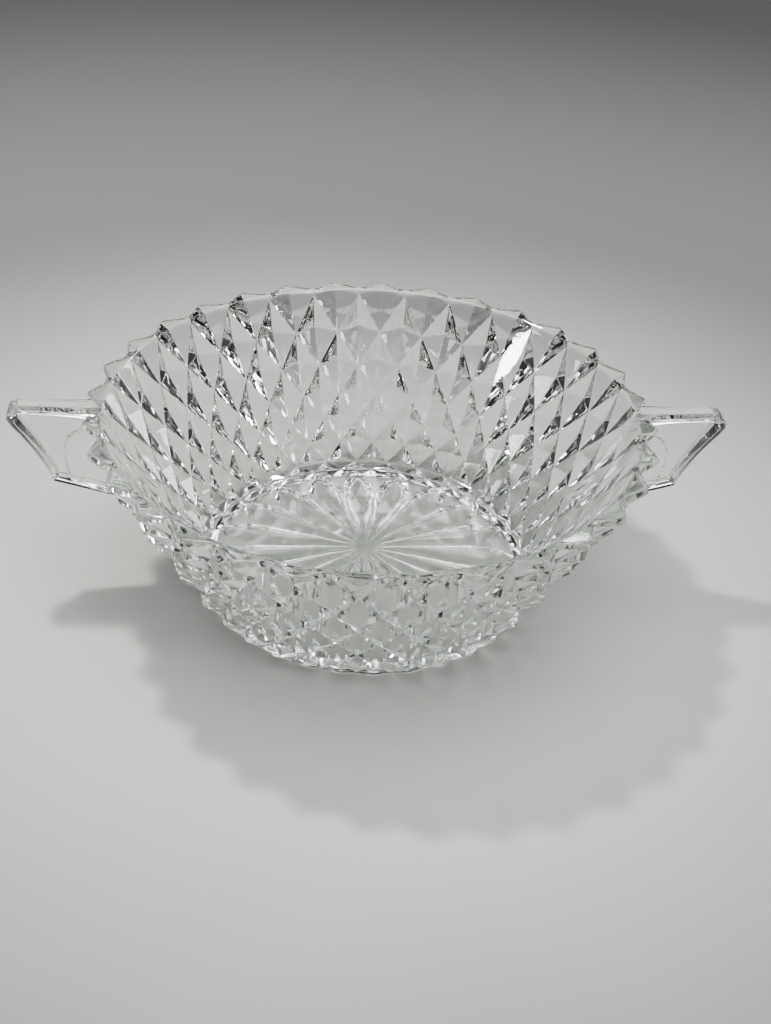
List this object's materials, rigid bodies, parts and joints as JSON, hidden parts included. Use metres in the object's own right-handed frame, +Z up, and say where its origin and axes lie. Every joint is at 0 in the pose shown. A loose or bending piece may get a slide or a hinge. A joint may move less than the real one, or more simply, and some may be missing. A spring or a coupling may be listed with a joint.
{
  "type": "two-handled pressed-glass bowl",
  "caption": "Clear pressed-glass serving bowl with a diamond-point outside wall, rosette base and two flanged tab handles.",
  "frame": {"origin": "centre of the flat foot ring's plane, on the surface that the bowl stands on", "axes": "+X along the line through the two handles, +Z up along the bowl's axis"},
  "size_m": [0.2916, 0.2318, 0.08],
  "materials": {
    "wall_glass": "clear pressed glass, faint grey-green tint",
    "base_glass": "clear pressed glass, faint grey-green tint",
    "handle_glass": "clear pressed glass, faint grey-green tint"
  },
  "bodies": {
    "root": {"diamond_wall": "wall_glass", "rosette_base": "base_glass", "right_handle": "handle_glass", "left_handle": "handle_glass"}
  },
  "joints": []
}
